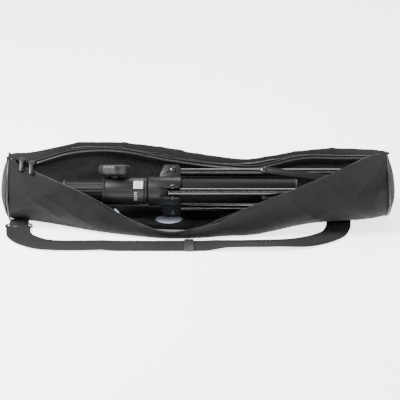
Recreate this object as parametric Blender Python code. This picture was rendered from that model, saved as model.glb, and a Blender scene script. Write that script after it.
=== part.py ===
"""Folding music stand packed in its open carry bag, with its desk folded flat beneath it.

The mast lies along X with its head at -X. Everything is in metres, +Z up, floor at Z = 0.
Three legs hang on a sliding hub; a flat brace ties each leg to a spider at the foot of the mast.
"""

from math import cos, pi, radians, sin

import bmesh
import bpy
from mathutils import Matrix, Vector

# Clearances and sheet thicknesses
GAP = 0.0003          # between pieces that touch
SLIDE = 0.0004        # radial gap of a sliding fit
CLOTH = 0.0018        # padded bag wall
BASE_CLOTH = 0.0020

# Mast: inner column, outer column round it
INNER_R = 0.0170
INNER_WALL = 0.0015
OUTER_WALL = 0.0016
OUTER_R = INNER_R + SLIDE + OUTER_WALL
OUTER_X = (-0.1115, 0.1500)
INNER_X = (-0.2050, 0.1150)
FLUTES = 20
FLUTE_DEPTH = 0.0006

# Clamp at the top of the outer column
HOUSING_X = (OUTER_X[0] - 0.0365, OUTER_X[0] + 0.0335)
HOUSING_R = OUTER_R + 0.0022
CLAMP_X = OUTER_X[0] - 0.0175
CLAMP_ANGLE = radians(68)
CLAMP_SCREW_R = 0.0030
BOSS_R = 0.0090
BOSS_TOP = HOUSING_R + 0.0031
KNOB_R = 0.0252
KNOB_THICK = 0.0155
KNOB_LOBES = 8
KNOB_SOCKET = 0.0100
KNOB_LAYERS = ((0.0, 0.86), (0.13, 0.97), (0.5, 1.0), (0.84, 0.97), (1.0, 0.84))
HOUSING_CHAMFER = 0.0012
RING_LINE = 0.0006
RING_LINE_WIDTH = 0.0008

# Legs
LEG_ANGLES = {"a": radians(41.5), "b": radians(161.5), "c": radians(281.5)}
LEG_R = 0.00635
LEG_WALL = 0.0010
LEG_LENGTH = 0.3090
FOOT_R = LEG_R + 0.00225
FOOT_LENGTH = 0.0300
FOOT_TIP = 0.0080

# Hub and its clevises
HUB_X = (HOUSING_X[1] + 0.0010, HOUSING_X[1] + 0.0520)
HUB_R = OUTER_R + 0.0034
PIVOT_X = HUB_X[0] + 0.0380
PIVOT_R = HUB_R + LEG_R + 0.00365
EAR_THICK = 0.0025
EAR_GAP = 0.0006
EAR_TOP = PIVOT_R + LEG_R + 0.00245
EAR_BACK = 0.0210
EAR_FRONT = 0.0120
EAR_CORNER = 0.0060
PIN_R = 0.0025
PIN_HEAD_R = 0.0045
PIN_HEAD = 0.0014
SET_SCREW_R = 0.0027
SET_SCREW_X = HUB_X[0] + 0.0105
SET_SCREW_ANGLE = radians(84)
LEG_START = PIVOT_X - 0.0070
LEG_END = LEG_START + LEG_LENGTH

# Braces, and the spider on the centre rod that they fold from
BRACE_LEG_X = PIVOT_X + 0.1410
BRACE_WIDTH = 0.0110
BRACE_THICK = 0.0025
BRACE_OUT = 0.0008
ROD_R = 0.0065
SPIDER_X = BRACE_LEG_X + 0.1260
SPIDER_SLEEVE_R = ROD_R + 0.0025
SPIDER_R = SPIDER_SLEEVE_R + 0.0050
SPIDER_LUG = 0.0030
LUG_OUT = 0.0004
ROD_START = OUTER_X[1] - 0.0210
ROD_END = SPIDER_X + 0.0160

# Desk
DESK_CENTRE = (-0.0445, 0.0045)
DESK_YAW = radians(-5)
DESK_LENGTH = 0.2700
DESK_WIDTH = 0.0800
DESK_CORNER = 0.0120
DESK_THICK = 0.0015
PAD_THICK = 0.0021
DESK_Z = BASE_CLOTH + GAP + PAD_THICK + 0.0007
LEAF_STEP = DESK_THICK + 0.0007
DESK_HOLE_R = 0.275 * DESK_WIDTH
DESK_HOLE_Y = -0.1125 * DESK_WIDTH
SLOT_PLACES = ((0.2574 * DESK_LENGTH, -0.1125 * DESK_WIDTH), (0.3148 * DESK_LENGTH, 0.2250 * DESK_WIDTH))
SLOT_LENGTH = 0.0290
SLOT_WIDTH = 0.0052
SLOT_SLANT = radians(24)
KNUCKLE_R = 0.0021
KNUCKLE_LENGTH = 0.0400
KNUCKLE_INSET = 0.0250
HINGE_PIN_R = 0.0009
HINGE_OUT = 0.0030

# The mast's axis clears the desk under its deepest clevis
MAST_Z = DESK_Z + LEAF_STEP + DESK_THICK + 0.0020 + EAR_TOP

# The pad under the desk stops just inside the desk's edge
PAD_INSET = 0.0020

# Bag: overall sizes, which stretch the sections, the strap's route and the sliders' places
BAG_LENGTH = 0.5840
BAG_DEPTH = 0.1640
BAG_HEIGHT = 0.1040
STRETCH = (BAG_LENGTH / 584, BAG_DEPTH / 164, BAG_HEIGHT / 104)

# Shoulder strap: the wire ring at its left end, its route in mm, its keeper
STRAP_WIDTH = 0.0380
STRAP_THICK = 0.0014
STRAP_Z = 0.0010
RING_MAJOR = 0.0125
RING_WIRE = 0.0016
RING_STRETCH = 1.55
RING_CENTRE = (-277 * STRETCH[0], -21 * STRETCH[1], RING_WIRE + 0.0006)
TAB_WIDTH = 0.0300
TAB_LENGTH = 0.0080
STRAP_ROUTE = ((-277.0, -37.5), (-273.5, -60.0), (-255.0, -84.0), (-220.0, -97.0), (-120.0, -97.0),
               (0.0, -97.0), (110.0, -95.5), (165.0, -85.0), (203.0, -58.0), (215.0, -30.0), (218.0, -10.0))
KEEPER_X = -0.0140
KEEPER_LENGTH = 0.0150
KEEPER_WALL = 0.0016

# Zip sliders: place at the mouth's left end in mm, size of body and pull
SLIDER_PLACES = {"a": (-272, 14, 99), "b": (-257, 8, 96)}
SLIDER_SIZE = (0.0095, 0.0080, 0.0040)
PULL_SIZE = (0.0055, 0.0190, 0.0014)
TAPE_WIDTH = 0.0090
TAPE_THICK = 0.0010

# Bag sections along X, in mm: floor front, belly, shoulder and mouth edge of the front wall
FRONT_WALL = (
    (-292, (10, 1.3), (-20, 40), (-9, 78), (17, 97)),
    (-258, (6, 1.3), (-23, 38), (-19, 70), (-1, 86)),
    (-208, (-14, 1.3), (-33, 26), (-31, 54), (-22, 71)),
    (-159, (-36, 1.3), (-48, 12), (-47, 34), (-34, 51)),
    (-109, (-52, 1.3), (-60, 8), (-60, 18), (-53, 28)),
    (-50, (-66, 1.3), (-73, 4), (-76, 9), (-75, 14)),
    (3, (-64, 1.3), (-71, 5), (-72, 12), (-66, 18)),
    (43, (-56, 1.3), (-65, 8), (-64, 20), (-54, 30)),
    (92, (-49, 1.3), (-59, 10), (-59, 32), (-47, 49)),
    (161, (-10, 1.3), (-48, 24), (-54, 56), (-42, 76)),
    (220, (8, 1.3), (-44, 25), (-48, 68), (-13, 92)),
    (268, (18, 1.3), (-38, 26), (-43, 72), (33, 97)),
    (292, (24, 1.3), (-26, 34), (-14, 82), (35, 98)),
)
# Floor back, belly, crest and hem of the back wall
BACK_WALL = (
    (-292, (42, 1.3), (76, 44), (52, 93), (21, 97)),
    (-258, (56, 1.3), (81, 46), (56, 96), (24, 92)),
    (-208, (66, 1.3), (86, 48), (64, 102), (55, 96)),
    (-159, (68, 1.3), (88, 50), (70, 104), (61, 100)),
    (-109, (68, 1.3), (89, 50), (71, 102), (61, 97)),
    (-50, (66, 1.3), (88, 46), (69, 96), (55, 87)),
    (3, (65, 1.3), (87, 42), (67, 87), (54, 79)),
    (43, (64, 1.3), (86, 38), (67, 80), (56, 74)),
    (92, (64, 1.3), (86, 36), (69, 76), (60, 71)),
    (161, (64, 1.3), (86, 46), (67, 92), (58, 88)),
    (220, (62, 1.3), (86, 48), (66, 97), (51, 91)),
    (268, (62, 1.3), (85, 48), (64, 95), (39, 96)),
    (292, (60, 1.3), (82, 46), (66, 90), (39, 98)),
)
PANEL_SPANS = 30
PANEL_ROWS = 8
END_OUT = 0.0060
BASE_INSET = 0.0020

# Facets of round pieces
TUBE_SIDES = 28
LEG_SIDES = 16
PIN_SIDES = 12

# Finish of each kind of piece: colour, roughness, metallic
FINISHES = {
    "cloth": ((0.022, 0.023, 0.026), 0.85, 0.0),
    "lining": ((0.045, 0.046, 0.050), 0.80, 0.0),
    "webbing": ((0.030, 0.031, 0.034), 0.80, 0.0),
    "powder": ((0.020, 0.021, 0.023), 0.55, 0.6),
    "gloss": ((0.008, 0.008, 0.009), 0.15, 0.3),
    "knob": ((0.018, 0.018, 0.019), 0.50, 0.0),
    "rubber": ((0.012, 0.012, 0.012), 0.75, 0.0),
    "rivet": ((0.62, 0.62, 0.64), 0.25, 1.0),
    "wire": ((0.25, 0.25, 0.27), 0.30, 1.0),
    "foam": ((0.48, 0.53, 0.62), 0.90, 0.0),
}


# ---------------------------------------------------------------- helpers

def clear_scene():
    for thing in list(bpy.data.objects):
        bpy.data.objects.remove(thing, do_unlink=True)


def finish(name, colour, roughness, metallic=0.0):
    """A plain Principled material for one node."""
    mat = bpy.data.materials.new(name + "_finish")
    mat.use_nodes = True
    shader = mat.node_tree.nodes["Principled BSDF"]
    shader.inputs["Base Color"].default_value = (*colour, 1.0)
    shader.inputs["Roughness"].default_value = roughness
    shader.inputs["Metallic"].default_value = metallic
    return mat


def carrier(name, place):
    """An empty on a joint's axis, which carries the pieces that move together."""
    empty = bpy.data.objects.new(name, None)
    empty.location = place
    bpy.context.collection.objects.link(empty)
    return empty


def add(name, bm, kind, holder=None):
    """Turn a bmesh in world space into a named object whose origin is its holder's place."""
    bmesh.ops.recalc_face_normals(bm, faces=bm.faces)
    mesh = bpy.data.meshes.new(name)
    thing = bpy.data.objects.new(name, mesh)
    bpy.context.collection.objects.link(thing)
    if holder:
        bmesh.ops.translate(bm, verts=bm.verts, vec=-Vector(holder.location))
        thing.parent = holder
    bm.to_mesh(mesh)
    bm.free()
    if kind:
        mesh.materials.append(finish(name, *FINISHES[kind]))
        mesh.shade_smooth()
        mesh.set_sharp_from_angle(angle=radians(35))
    return thing


def shape(thing, bm, operation, holder=None):
    """Add a hidden helper solid to a piece as an exact boolean."""
    helper = add(thing.name + "_helper", bm, None, holder)
    helper.hide_render = True
    helper.display_type = "WIRE"
    boolean = thing.modifiers.new(operation.lower(), "BOOLEAN")
    boolean.operation = operation
    boolean.solver = "EXACT"
    boolean.object = helper


def turned(profile, origin=(0, 0, 0), axis=(1, 0, 0), sides=TUBE_SIDES):
    """Solid of revolution; the profile lists (distance along the axis, radius)."""
    bm = bmesh.new()
    axis = Vector(axis).normalized()
    side = axis.orthogonal().normalized()
    start = Vector(origin)
    ring = [bm.verts.new(start + axis * along + side * radius) for along, radius in profile]
    edges = []
    for here, there in zip(range(len(ring)), list(range(1, len(ring))) + [0]):
        if profile[here][1] > 0 or profile[there][1] > 0:
            edges.append(bm.edges.new((ring[here], ring[there])))
    bmesh.ops.spin(bm, geom=ring + edges, cent=start, axis=axis, angle=2 * pi, steps=sides,
                   use_merge=True)
    bmesh.ops.remove_doubles(bm, verts=bm.verts, dist=1e-6)
    bmesh.ops.recalc_face_normals(bm, faces=bm.faces)
    return bm


def rod(start, end, radius, origin=(0, 0, 0), axis=(1, 0, 0), sides=16):
    return turned([(start, 0), (start, radius), (end, radius), (end, 0)], origin, axis, sides)


def tube(start, end, outer, inner, sides=TUBE_SIDES):
    return turned([(start, inner), (start, outer), (end, outer), (end, inner)], sides=sides)


def slab(outline, push):
    """A flat outline pushed along a vector into a closed solid."""
    bm = bmesh.new()
    face = bm.faces.new([bm.verts.new(point) for point in outline])
    grown = bmesh.ops.extrude_face_region(bm, geom=[face])
    moved = [item for item in grown["geom"] if isinstance(item, bmesh.types.BMVert)]
    bmesh.ops.translate(bm, verts=moved, vec=push)
    bmesh.ops.recalc_face_normals(bm, faces=bm.faces)
    return bm


def arc(centre, radius, start, end, steps):
    return [(centre[0] + radius * cos(start + (end - start) * i / steps),
             centre[1] + radius * sin(start + (end - start) * i / steps)) for i in range(steps + 1)]


def rounded(length, width, radius, steps=4):
    """Rounded rectangle about the origin."""
    x, y = length / 2 - radius, width / 2 - radius
    corners = ((x, y, 0), (-x, y, 1), (-x, -y, 2), (x, -y, 3))
    return [p for cx, cy, k in corners for p in arc((cx, cy), radius, k * pi / 2, (k + 1) * pi / 2, steps)]


def turn_to(bm, angle):
    """Carry a shape built above the mast's axis round to a leg's angle, and up to the mast."""
    matrix = Matrix.Translation((0, 0, MAST_Z)) @ Matrix.Rotation(angle - pi / 2, 4, "X")
    bmesh.ops.transform(bm, matrix=matrix, verts=bm.verts)
    return bm


def on_mast(bm):
    bmesh.ops.translate(bm, verts=bm.verts, vec=(0, 0, MAST_Z))
    return bm


def smooth(points, share):
    """A point on the Catmull-Rom curve through the given points, by share of its length in steps."""
    spans = len(points) - 1
    place = min(max(share * spans, 0.0), spans - 1e-9)
    k = int(place)
    t = place - k
    last = len(points) - 1
    p0, p1, p2, p3 = (Vector(points[min(max(k + d, 0), last)]) for d in (-1, 0, 1, 2))
    return 0.5 * (2 * p1 + (p2 - p0) * t + (2 * p0 - 5 * p1 + 4 * p2 - p3) * t * t
                  + (3 * p1 - p0 - 3 * p2 + p3) * t ** 3)


def stretched(x, y, z=0.0):
    """A place of the bag, given in mm at its first size, as a vector at the size it has now."""
    return Vector((x * STRETCH[0], y * STRETCH[1], z * STRETCH[2]))


def section(table, share):
    """The bag's section points at a share of its length, as vectors (X, Y, Z) in metres."""
    rows = [[stretched(x, *p) for p in points] for x, *points in table]
    return [smooth([row[i] for row in rows], share) for i in range(len(rows[0]))]


def sheet(name, rows, thick, kind, holder=None):
    """A grid of points given a wall thickness, half to each side."""
    bm = bmesh.new()
    grid = [[bm.verts.new(point) for point in row] for row in rows]
    for here, there in zip(grid, grid[1:]):
        for k in range(len(here) - 1):
            bm.faces.new((here[k], here[k + 1], there[k + 1], there[k]))
    thing = add(name, bm, kind, holder)
    wall = thing.modifiers.new("wall", "SOLIDIFY")
    wall.thickness = thick
    wall.offset = 0.0
    wall.use_even_offset = True
    return thing


# ---------------------------------------------------------------- carry bag

def bag_walls():
    for name, table in (("bag_front", FRONT_WALL), ("bag_back", BACK_WALL)):
        rows = []
        for i in range(PANEL_SPANS + 1):
            points = section(table, i / PANEL_SPANS)
            rows.append([smooth(points, j / PANEL_ROWS) for j in range(PANEL_ROWS + 1)])
        sheet(name, rows, CLOTH, "cloth")


def bag_base():
    """The floor panel, between the feet of the two walls."""
    rows = []
    for i in range(1, PANEL_SPANS):
        front = section(FRONT_WALL, i / PANEL_SPANS)[0]
        back = section(BACK_WALL, i / PANEL_SPANS)[0]
        width = back.y - front.y - 2 * BASE_INSET
        across = [front.y + BASE_INSET + width * j / 4 for j in range(5)]
        rows.append([Vector((front.x, y, BASE_CLOTH / 2)) for y in across])
    sheet("bag_base", rows, BASE_CLOTH, "lining")


def bag_ends():
    """The two end panels, each a closed outline through its wall sections, set just outside them."""
    for name, share, out in (("bag_end_left", 0.0, -1), ("bag_end_right", 1.0, 1)):
        front = [smooth(section(FRONT_WALL, share), j / PANEL_ROWS) for j in range(PANEL_ROWS + 1)]
        back = [smooth(section(BACK_WALL, share), j / PANEL_ROWS) for j in range(PANEL_ROWS + 1)]
        outline = [point + Vector((out * (CLOTH / 2 + GAP), 0, 0)) for point in front + back[::-1]]
        centre = sum(outline, Vector()) / len(outline) + Vector((out * END_OUT, 0, 0))
        middle = [point.lerp(centre, 0.5) + Vector((out * END_OUT * 0.3, 0, 0)) for point in outline]
        bm = bmesh.new()
        rings = [[bm.verts.new(point) for point in ring] for ring in (outline, middle)]
        hub = bm.verts.new(centre)
        count = len(outline)
        for k in range(count):
            after = (k + 1) % count
            bm.faces.new((rings[0][k], rings[0][after], rings[1][after], rings[1][k]))
            bm.faces.new((rings[1][k], rings[1][after], hub))
        thing = add(name, bm, "cloth")
        wall = thing.modifiers.new("wall", "SOLIDIFY")
        wall.thickness = CLOTH
        wall.offset = 1.0


def zip_tapes():
    """A tape inside each mouth edge, narrower where the wall stands low."""
    for name, table, turn in (("zip_tape_front", FRONT_WALL, 1), ("zip_tape_back", BACK_WALL, -1)):
        rows = []
        for i in range(3, PANEL_SPANS - 3):
            edge = section(table, i / PANEL_SPANS)[-1]
            width = min(TAPE_WIDTH, 0.45 * edge.z)
            top = edge + Vector((0, turn * (CLOTH / 2 + 0.0016), -0.0010))
            rows.append([top + Vector((0, turn * 0.15, -0.99)) * width * j / 2 for j in range(3)])
        sheet(name, rows, TAPE_THICK, "webbing")


def zip_sliders():
    for key, place in SLIDER_PLACES.items():
        body_at = stretched(*place)
        holder = carrier("zip_slider_" + key + "_run", body_at)
        long, wide, high = SLIDER_SIZE
        outline = [body_at + Vector((x, y, -high / 2)) for x, y in rounded(long, wide, 0.0025, 3)]
        add("zip_slider_" + key, slab(outline, Vector((0, 0, high))), "wire", holder)
        hang = body_at + Vector((0, -wide / 2 - 0.0012, 0))
        swing = carrier("zip_pull_" + key + "_swing", hang)
        wide, long, thick = PULL_SIZE
        down = Vector((0, -0.8, -0.6))
        outline = [hang + Vector((x, 0, 0)) + down * (long / 2 + y) for x, y in rounded(wide, long, 0.002, 3)]
        add("zip_pull_" + key, slab(outline, Vector((0, -0.6, 0.8)) * thick), "wire", swing)


def liner_pad():
    span = (DESK_LENGTH - 2 * PAD_INSET, DESK_WIDTH - 2 * PAD_INSET)
    turn = Matrix.Rotation(DESK_YAW, 3, "Z")
    low = Vector((*DESK_CENTRE, BASE_CLOTH + GAP))
    outline = [low + turn @ Vector((x, y, 0)) for x, y in rounded(*span, DESK_CORNER - PAD_INSET)]
    add("foam_pad", slab(outline, Vector((0, 0, PAD_THICK))), "foam")


def shoulder_strap():
    count = 44
    route = [stretched(x, y) + Vector((0, 0, STRAP_Z)) for x, y in STRAP_ROUTE]
    route[0].y = RING_CENTRE[1] - RING_MAJOR - RING_WIRE - 0.0024
    path = [smooth(route, i / count) for i in range(count + 1)]
    rows = []
    for i, point in enumerate(path):
        along = (path[min(i + 1, count)] - path[max(i - 1, 0)]).normalized()
        side = Vector((-along.y, along.x, 0)) * STRAP_WIDTH / 2
        rows.append([point - side, point, point + side])
    sheet("strap_webbing", rows, STRAP_THICK, "webbing")


def strap_ring():
    """An oblong wire ring on the floor, and the sewn tab that ties it to the bag."""
    bm = bmesh.new()
    wire = [bm.verts.new((RING_MAJOR + RING_WIRE * cos(a * pi / 3), 0, RING_WIRE * sin(a * pi / 3)))
            for a in range(6)]
    edges = [bm.edges.new((wire[k], wire[(k + 1) % 6])) for k in range(6)]
    bmesh.ops.spin(bm, geom=wire + edges, cent=(0, 0, 0), axis=(0, 0, 1), angle=2 * pi, steps=20,
                   use_merge=True)
    bmesh.ops.remove_doubles(bm, verts=bm.verts, dist=1e-6)
    bmesh.ops.scale(bm, verts=bm.verts, vec=(RING_STRETCH, 1, 1))
    bmesh.ops.translate(bm, verts=bm.verts, vec=RING_CENTRE)
    add("strap_ring_left", bm, "wire")
    x, y, z = RING_CENTRE
    back = y + RING_MAJOR + RING_WIRE + GAP
    rows = [[Vector((x + TAB_WIDTH * across, back + TAB_LENGTH * along, STRAP_Z))
             for across in (-0.5, 0.0, 0.5)] for along in (0.0, 0.5, 1.0)]
    sheet("strap_tab_left", rows, STRAP_THICK, "webbing")


def strap_keeper():
    """A flat two-slot buckle around the straight run of the strap."""
    y = stretched(*STRAP_ROUTE[4]).y
    room = Vector((KEEPER_LENGTH, STRAP_WIDTH + 2 * SLIDE, STRAP_THICK + 2 * SLIDE))
    low = Vector((KEEPER_X, y, GAP))
    outline = [low + Vector((px, py, 0))
               for px, py in rounded(KEEPER_LENGTH, room.y + 2 * KEEPER_WALL, 0.003, 3)]
    holder = carrier("keeper_run", (KEEPER_X, y, STRAP_Z))
    height = STRAP_Z + room.z / 2 + KEEPER_WALL - GAP
    keeper = add("strap_keeper", slab(outline, Vector((0, 0, height))), "knob", holder)
    half = room / 2
    passage = [Vector((KEEPER_X - 0.02, y + sy * half.y, STRAP_Z + sz * half.z))
               for sy, sz in ((-1, -1), (1, -1), (1, 1), (-1, 1))]
    passage[0].z = passage[1].z = -0.002
    shape(keeper, slab(passage, Vector((0.04, 0, 0))), "DIFFERENCE", holder)


# ---------------------------------------------------------------- desk

def desk_place(x, y, z):
    """A point of the desk's own frame, carried to its yaw and centre."""
    across = Matrix.Rotation(DESK_YAW, 2) @ Vector((x, y))
    return Vector((DESK_CENTRE[0] + across.x, DESK_CENTRE[1] + across.y, z))


def desk_leaf(name, low, knuckles, holder, hinge_y, hinge_z):
    outline = [desk_place(x, y, low) for x, y in rounded(DESK_LENGTH, DESK_WIDTH, DESK_CORNER)]
    leaf = add(name, slab(outline, Vector((0, 0, DESK_THICK))), "powder", holder)
    along = desk_place(1, 0, 0) - desk_place(0, 0, 0)
    for x in knuckles:
        start = desk_place(x, hinge_y, hinge_z)
        shape(leaf, rod(0, KNUCKLE_LENGTH, KNUCKLE_R, start, along, 16), "UNION", holder)
        near, far = hinge_y - HINGE_OUT - 0.0020, hinge_y - 0.0008
        tab = [desk_place(px, py, low) for px, py in
               ((x, near), (x + KNUCKLE_LENGTH, near), (x + KNUCKLE_LENGTH, far), (x, far))]
        shape(leaf, slab(tab, Vector((0, 0, DESK_THICK))), "UNION", holder)
    bore = rod(-DESK_LENGTH, DESK_LENGTH, HINGE_PIN_R + SLIDE, desk_place(0, hinge_y, hinge_z), along, 16)
    shape(leaf, bore, "DIFFERENCE", holder)
    hole = rod(-0.01, 0.01, DESK_HOLE_R, desk_place(0, DESK_HOLE_Y, low), (0, 0, 1), TUBE_SIDES)
    shape(leaf, hole, "DIFFERENCE", holder)
    for side in (-1, 1):
        for x, y in SLOT_PLACES:
            lean = Matrix.Rotation(side * -SLOT_SLANT, 2)
            outline = []
            for corner in rounded(SLOT_WIDTH, SLOT_LENGTH, SLOT_WIDTH / 2 - 1e-5, 3):
                leant = lean @ Vector(corner)
                outline.append(desk_place(side * x + leant.x, y + leant.y, low - 0.003))
            shape(leaf, slab(outline, Vector((0, 0, 0.008))), "DIFFERENCE", holder)
    return along


def desk():
    """Two leaves hinged along the back edge, folded one on the other."""
    hinge_y = DESK_WIDTH / 2 + HINGE_OUT
    hinge_z = DESK_Z + (DESK_THICK + LEAF_STEP) / 2
    axis_at = desk_place(0, hinge_y, hinge_z)
    lower = carrier("desk_lift", desk_place(0, 0, DESK_Z))
    upper = carrier("desk_unfold", axis_at)
    outer = (KNUCKLE_INSET - DESK_LENGTH / 2, DESK_LENGTH / 2 - KNUCKLE_INSET - KNUCKLE_LENGTH)
    along = desk_leaf("desk_leaf_lower", DESK_Z, outer, lower, hinge_y, hinge_z)
    desk_leaf("desk_leaf_upper", DESK_Z + LEAF_STEP, (-KNUCKLE_LENGTH / 2,), upper, hinge_y, hinge_z)
    reach = outer[1] + KNUCKLE_LENGTH + 0.001
    add("desk_hinge_pin", rod(-reach, reach, HINGE_PIN_R, axis_at, along, 12), "rivet", lower)


# ---------------------------------------------------------------- mast

def fluted(start, end, radius, wall, depth):
    """A tube whose outside has shallow flutes along it."""
    count = FLUTES * 2
    bm = bmesh.new()
    loops = []
    for x, outside in ((start, True), (end, True), (end, False), (start, False)):
        loop = []
        for k in range(count):
            angle = 2 * pi * k / count
            r = radius - depth * (k % 2) if outside else radius - wall
            loop.append(bm.verts.new((x, r * cos(angle), r * sin(angle))))
        loops.append(loop)
    for here, there in zip(loops, loops[1:] + loops[:1]):
        for k in range(count):
            after = (k + 1) % count
            bm.faces.new((here[k], here[after], there[after], there[k]))
    return bm


def columns(stand, inner):
    add("column_lower", on_mast(tube(*OUTER_X, OUTER_R, OUTER_R - OUTER_WALL)), "powder", stand)
    add("column_upper", on_mast(fluted(*INNER_X, INNER_R, INNER_WALL, FLUTE_DEPTH)), "powder", inner)
    bore = INNER_R - INNER_WALL - GAP
    face = INNER_X[0] - GAP
    cap = [(face - 0.0035, 0), (face - 0.0035, INNER_R - 0.0012), (face - 0.0022, INNER_R),
           (face, INNER_R), (face, bore), (face + 0.0100, bore), (face + 0.0100, 0)]
    cap_piece = add("head_cap", on_mast(turned(cap)), "knob", inner)
    shape(cap_piece, on_mast(rod(face - 0.01, face + 0.006, 0.0050)), "DIFFERENCE", inner)


def clamp(stand):
    """Housing over the outer column's end, with a split bush round the inner column."""
    start, end = HOUSING_X
    seat = OUTER_R + GAP
    bush_r = OUTER_R - GAP
    step = OUTER_X[0] - 0.0010
    mouth = INNER_R + 0.0006
    low = HOUSING_R - RING_LINE
    profile = [(start, mouth), (start, HOUSING_R - HOUSING_CHAMFER), (start + HOUSING_CHAMFER, HOUSING_R)]
    for at in (start + 0.0040, end - 0.0050):
        profile += [(at, HOUSING_R), (at + 0.0004, low), (at + 0.0004 + RING_LINE_WIDTH, low),
                    (at + 0.0008 + RING_LINE_WIDTH, HOUSING_R)]
    profile += [(end - HOUSING_CHAMFER, HOUSING_R), (end, HOUSING_R - HOUSING_CHAMFER), (end, seat),
                (step, seat), (start + 0.0020, seat), (start + 0.0020, mouth)]
    housing = add("clamp_housing", on_mast(turned(profile, sides=TUBE_SIDES)), "powder", stand)
    for radius, low, high, operation in ((BOSS_R, OUTER_R + 0.0008, BOSS_TOP, "UNION"),
                                         (CLAMP_SCREW_R + GAP, 0.0, 0.05, "DIFFERENCE")):
        bm = rod(low, high, radius, (CLAMP_X, 0, 0), (0, 0, 1), PIN_SIDES)
        shape(housing, turn_to(bm, CLAMP_ANGLE), operation, stand)
    ring = tube(start + 0.0024, step - GAP, bush_r, INNER_R + SLIDE)
    bush = add("clamp_bush", on_mast(ring), "knob", stand)
    hole = rod(0, 0.05, CLAMP_SCREW_R + GAP, (CLAMP_X, 0, 0), (0, 0, 1), PIN_SIDES)
    shape(bush, turn_to(hole, CLAMP_ANGLE), "DIFFERENCE", stand)


def knob():
    """Lobed knob on its screw, which bears on the inner column."""
    turner = carrier("knob_turn", turn_to_point((CLAMP_X, 0, BOSS_TOP), CLAMP_ANGLE))
    base = BOSS_TOP + 0.0005
    screw = rod(INNER_R + SLIDE, base + KNOB_SOCKET, CLAMP_SCREW_R, (CLAMP_X, 0, 0), (0, 0, 1), PIN_SIDES)
    add("clamp_screw", turn_to(screw, CLAMP_ANGLE), "rivet", turner)
    count = KNOB_LOBES * 4
    bm = bmesh.new()
    loops = []
    for level, share in KNOB_LAYERS:
        z = base + KNOB_THICK * level
        loop = []
        for k in range(count):
            angle = 2 * pi * k / count
            r = KNOB_R * share * (1 - 0.055 * (1 - cos(KNOB_LOBES * angle)))
            loop.append(bm.verts.new((CLAMP_X + r * cos(angle), r * sin(angle), z)))
        loops.append(loop)
    for here, there in zip(loops, loops[1:]):
        for k in range(count):
            after = (k + 1) % count
            bm.faces.new((here[k], here[after], there[after], there[k]))
    bm.faces.new(loops[0])
    bm.faces.new(loops[-1])
    piece = add("clamp_knob", turn_to(bm, CLAMP_ANGLE), "knob", turner)
    socket = rod(base - 0.005, base + KNOB_SOCKET + GAP, CLAMP_SCREW_R + GAP, (CLAMP_X, 0, 0), (0, 0, 1),
                 PIN_SIDES)
    shape(piece, turn_to(socket, CLAMP_ANGLE), "DIFFERENCE", turner)


def mast_foot(stand):
    """Plug, centre rod, spider and end cap at the foot of the mast."""
    bore = OUTER_R - OUTER_WALL - GAP
    flange = OUTER_X[1] + GAP
    plug = [(OUTER_X[1] - 0.018, ROD_R + GAP), (OUTER_X[1] - 0.018, bore), (flange, bore), (flange, OUTER_R),
            (flange + 0.0030, OUTER_R - 0.001), (flange + 0.0030, ROD_R + GAP)]
    add("column_plug", on_mast(turned(plug, sides=TUBE_SIDES)), "knob", stand)
    add("centre_rod", on_mast(rod(ROD_START, ROD_END, ROD_R)), "gloss", stand)
    sleeve = tube(SPIDER_X - 0.0130, SPIDER_X + 0.0130, SPIDER_SLEEVE_R, ROD_R + GAP)
    spider = add("foot_spider", on_mast(sleeve), "powder", stand)
    near = LEG_R + GAP + BRACE_OUT + BRACE_THICK
    low = ROD_R + 0.0015
    for angle in LEG_ANGLES.values():
        outline = [Vector((SPIDER_X + x, -(LEG_R + LUG_OUT), z)) for x, z in
                   [(-0.0065, low), *arc((0, SPIDER_R), 0.0060, pi, 0, 10), (0.0065, low)]]
        lug = slab(outline, Vector((0, SPIDER_LUG, 0)))
        shape(spider, turn_to(lug, angle), "UNION", stand)
    for angle in LEG_ANGLES.values():
        hole = rod(-near - 0.004, 0.0, PIN_R - 0.0003 + GAP, (SPIDER_X, 0, SPIDER_R), (0, 1, 0), PIN_SIDES)
        shape(spider, turn_to(hole, angle), "DIFFERENCE", stand)
    cap = [(ROD_END + GAP, 0), (ROD_END + GAP, ROD_R + 0.001), (ROD_END + 0.003, ROD_R + 0.001),
           (ROD_END + 0.005, ROD_R - 0.002), (ROD_END + 0.005, 0)]
    add("rod_cap", on_mast(turned(cap)), "rubber", stand)


# ---------------------------------------------------------------- tripod

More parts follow.
